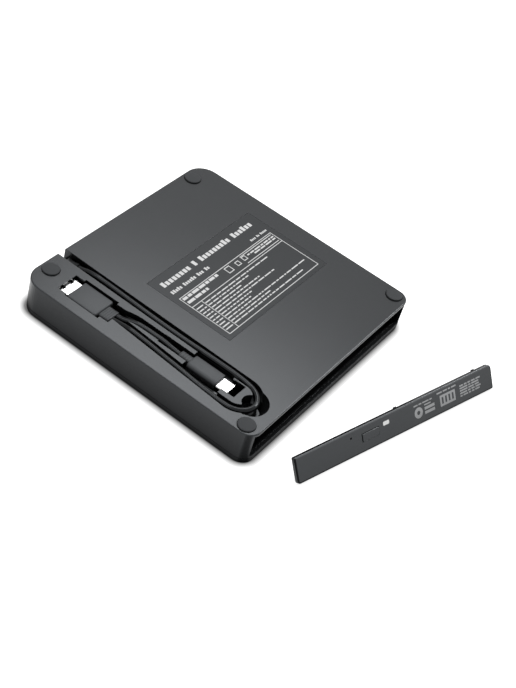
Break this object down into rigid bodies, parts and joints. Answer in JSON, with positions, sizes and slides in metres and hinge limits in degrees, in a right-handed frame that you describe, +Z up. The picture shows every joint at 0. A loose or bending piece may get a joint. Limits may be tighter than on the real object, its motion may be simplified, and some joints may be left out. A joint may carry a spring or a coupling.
{
  "type": "external slim disc drive enclosure",
  "caption": "Slim disc drive enclosure lying underside up, with its USB lead stored in a moulded groove and a loose front plate with an eject button",
  "frame": {"origin": "centre of the flat outer face of the top cover, on which the enclosure lies", "axes": "+Z up, towards the underside with its cable groove; -Y towards the drive opening; -X towards the cable side"},
  "size_m": [0.1464, 0.2061, 0.021],
  "materials": {
    "case_plastic": "fine moulded texture, dark grey",
    "foot_rubber": "matt dark grey rubber",
    "label_film": "satin printed film",
    "plug_plastic": "satin moulded plastic, dark grey",
    "plated_steel": "bright nickel plate",
    "white_plastic": "white moulded plastic",
    "cord_jacket": "smooth black jacket",
    "black_rubber": "moulded black rubber",
    "circuit_board": "green solder mask",
    "chip_plastic": "matt black moulding",
    "contact_metal": "gold plate",
    "pad_foam": "soft black foam",
    "face_plastic": "smooth dark grey plastic",
    "window_plastic": "milky white plastic"
  },
  "bodies": {
    "case": {"bottom_shell": "case_plastic", "top_cover": "case_plastic", "foot_front_left": "foot_rubber", "foot_front_right": "foot_rubber", "foot_rear_left": "foot_rubber", "foot_rear_right": "foot_rubber", "rating_label": "label_film", "drive_pad_left": "pad_foam", "drive_pad_right": "pad_foam", "cord_grommet": "black_rubber", "main_cord": "cord_jacket", "tether_cord": "cord_jacket", "inner_lead": "cord_jacket", "usb_a_overmold": "plug_plastic", "usb_a_shell": "plated_steel", "usb_a_tongue": "white_plastic", "usb_c_overmold": "plug_plastic", "usb_c_shell": "plated_steel", "bridge_board": "circuit_board", "board_screw_left": "plated_steel", "board_screw_right": "plated_steel", "drive_receptacle": "chip_plastic", "receptacle_contacts": "contact_metal", "bridge_chip": "chip_plastic", "crystal": "plated_steel", "capacitor_1": "plated_steel", "capacitor_2": "plated_steel", "inductor": "chip_plastic", "wire_header": "white_plastic", "wire_plug": "white_plastic"},
    "front_plate": {"faceplate": "face_plastic", "light_window": "window_plastic", "button_spring": "plated_steel"},
    "eject_button_body": {"eject_button": "face_plastic"}
  },
  "joints": [
    {"name": "faceplate_lift", "type": "slide", "parent": "case", "child": "front_plate", "axis": [0, 0, 1], "range_m": [0, 0.04]},
    {"name": "eject_button_press", "type": "slide", "parent": "front_plate", "child": "eject_button_body", "axis": [0.2169, 0.7963, -0.5647], "range_m": [0, 0.0008], "stiffness_N_per_m": 400}
  ]
}
